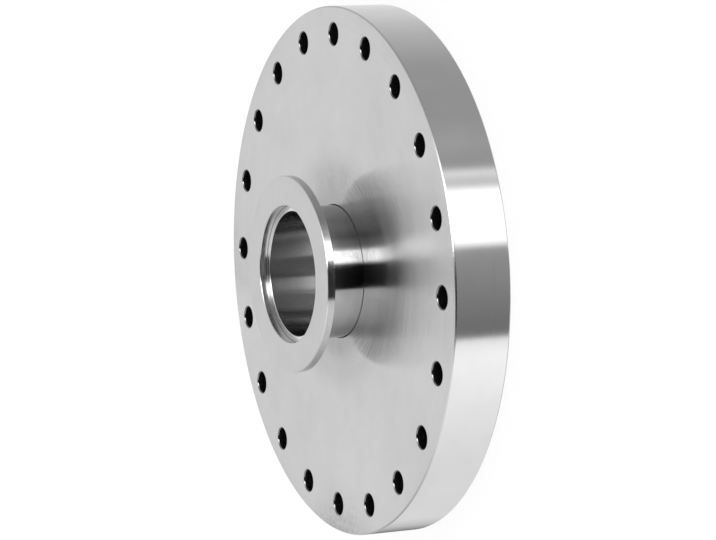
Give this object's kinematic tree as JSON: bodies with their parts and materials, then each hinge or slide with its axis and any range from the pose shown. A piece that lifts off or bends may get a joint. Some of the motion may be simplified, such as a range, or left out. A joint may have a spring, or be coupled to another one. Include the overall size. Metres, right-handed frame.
{
  "type": "vacuum flange adapter",
  "caption": "Round reducing adapter for high vacuum: a thick bolted knife-edge flange with a short neck and a small clamp flange on its air side.",
  "frame": {"origin": "centre of the bolted sealing side, in the plane of the outer land that it lies on", "axes": "+Z along the common axis, towards the clamp flange; +X through the centre of one bolt hole"},
  "size_m": [0.2024, 0.2024, 0.0426],
  "materials": {
    "turned_disc": "fine turned stainless steel",
    "turned_port": "smooth turned stainless steel",
    "weld": "bright fused weld"
  },
  "bodies": {
    "root": {"bolt_flange": "turned_disc", "clamp_port": "turned_port", "weld_bead": "weld"}
  },
  "joints": []
}
